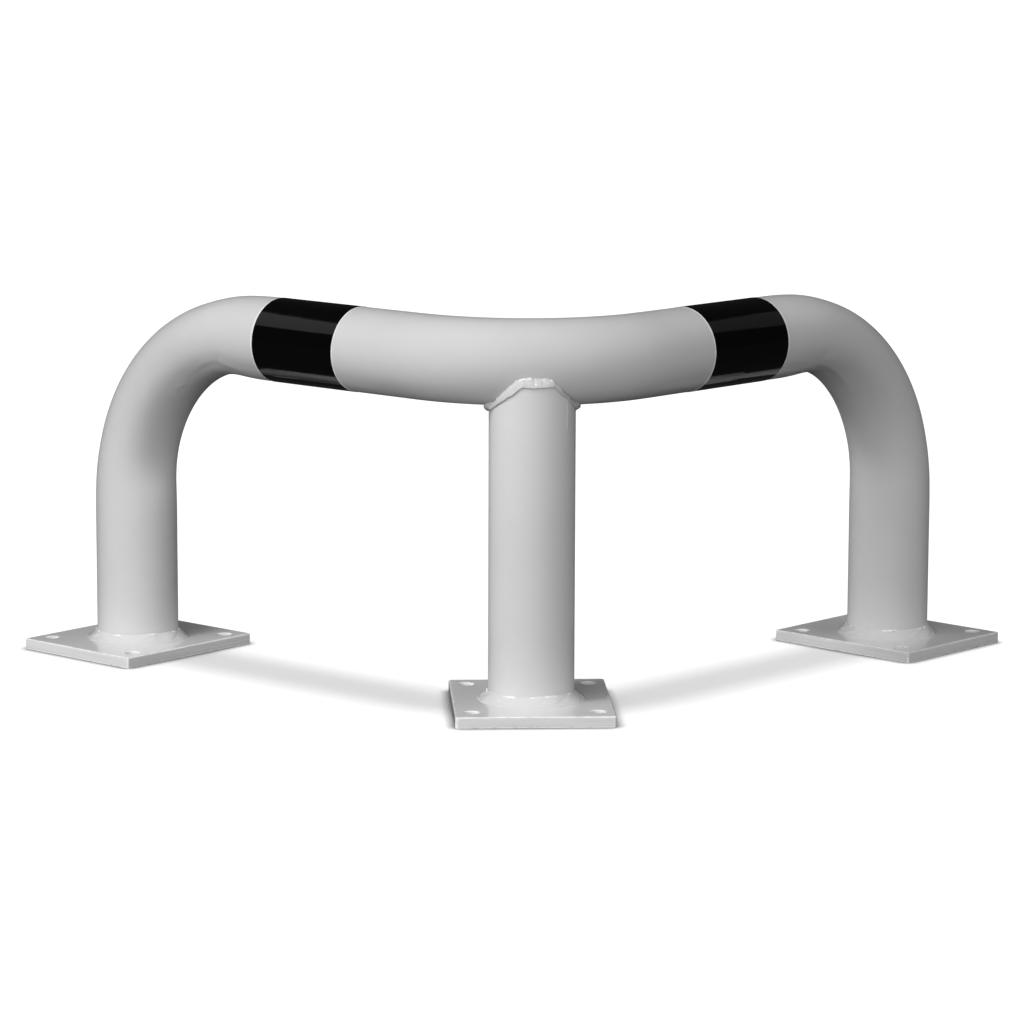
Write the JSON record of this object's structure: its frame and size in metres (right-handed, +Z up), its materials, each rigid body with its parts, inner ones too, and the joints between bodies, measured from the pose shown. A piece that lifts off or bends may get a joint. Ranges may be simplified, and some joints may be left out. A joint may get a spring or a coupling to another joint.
{
  "type": "hoop barrier",
  "caption": "Corner hoop barrier: a bent steel tube on bolt-down base plates, with a post under the corner and dark marking bands on the arms.",
  "frame": {"origin": "on the floor under the middle of the corner bend, at the centre of the centre plate's bolt pattern", "axes": "+Z up, X along the line between the two outer legs, the corner points along -Y"},
  "size_m": [0.9216, 0.4761, 0.3463],
  "materials": {
    "powder_coat": "satin",
    "weld_bead": "satin",
    "marking_film": "gloss"
  },
  "bodies": {
    "root": {"hoop_tube": "powder_coat", "centre_post": "powder_coat", "base_plate_left": "powder_coat", "base_plate_centre": "powder_coat", "base_plate_right": "powder_coat", "foot_weld_left": "weld_bead", "foot_weld_centre": "weld_bead", "foot_weld_right": "weld_bead", "saddle_weld": "weld_bead", "marking_band_left": "marking_film", "marking_band_right": "marking_film"}
  },
  "joints": []
}
